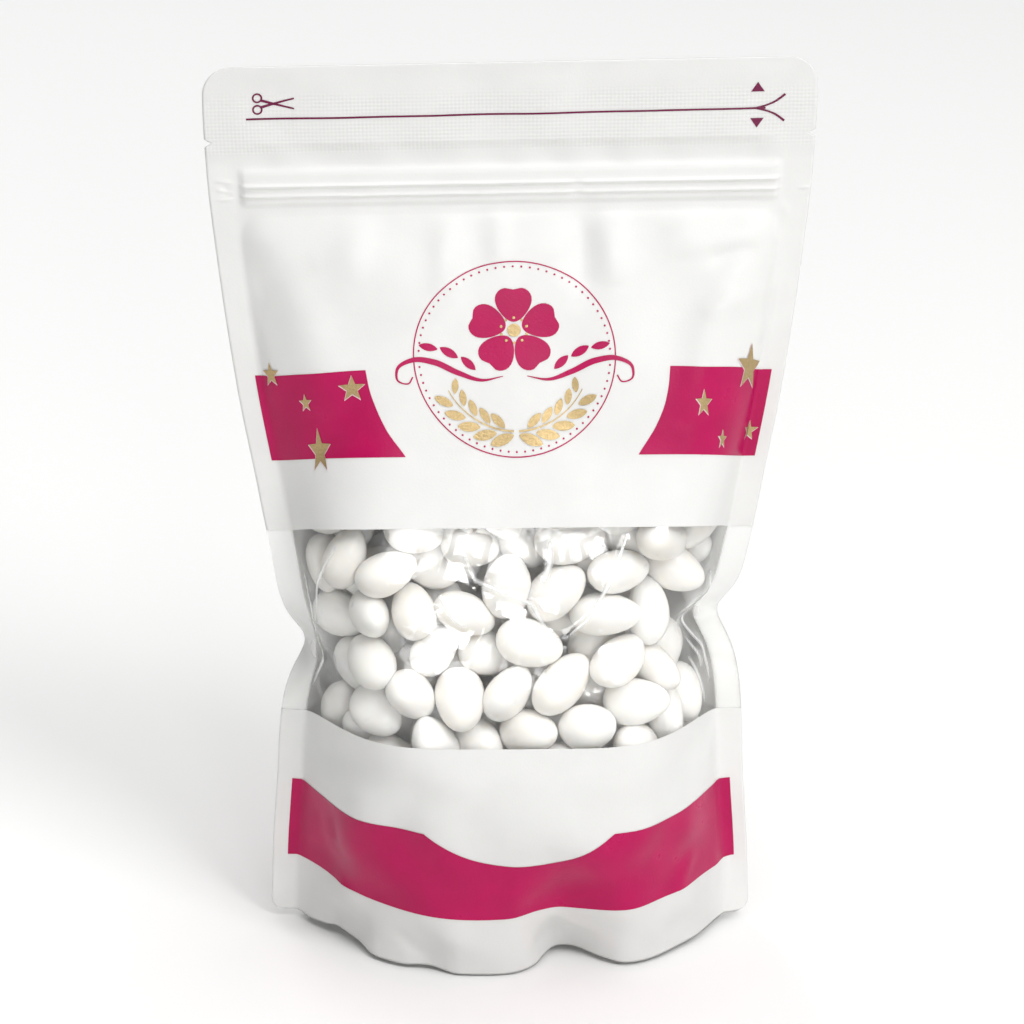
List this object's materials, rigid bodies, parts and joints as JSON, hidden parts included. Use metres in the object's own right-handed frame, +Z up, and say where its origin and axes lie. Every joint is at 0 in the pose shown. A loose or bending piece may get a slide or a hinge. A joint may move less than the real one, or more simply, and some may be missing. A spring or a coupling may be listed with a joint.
{
  "type": "stand-up pouch of sugared almonds",
  "caption": "Sealed white stand-up pouch with a header, zip closure, tear notches and side seals, and a clear front window showing a heap of white sugared almonds.",
  "frame": {"origin": "middle of the pouch's footprint, on the surface it stands on", "axes": "+Z up along the pouch's height, -Y out of the front with the window, +X to the right seen from the front"},
  "size_m": [0.19, 0.09, 0.2982],
  "materials": {
    "film": "matte white printed film",
    "sugar_shell": "smooth hard white sugar coating, softly glossy"
  },
  "bodies": {
    "root": {"pouch": "film", "almonds": "sugar_shell"}
  },
  "joints": []
}
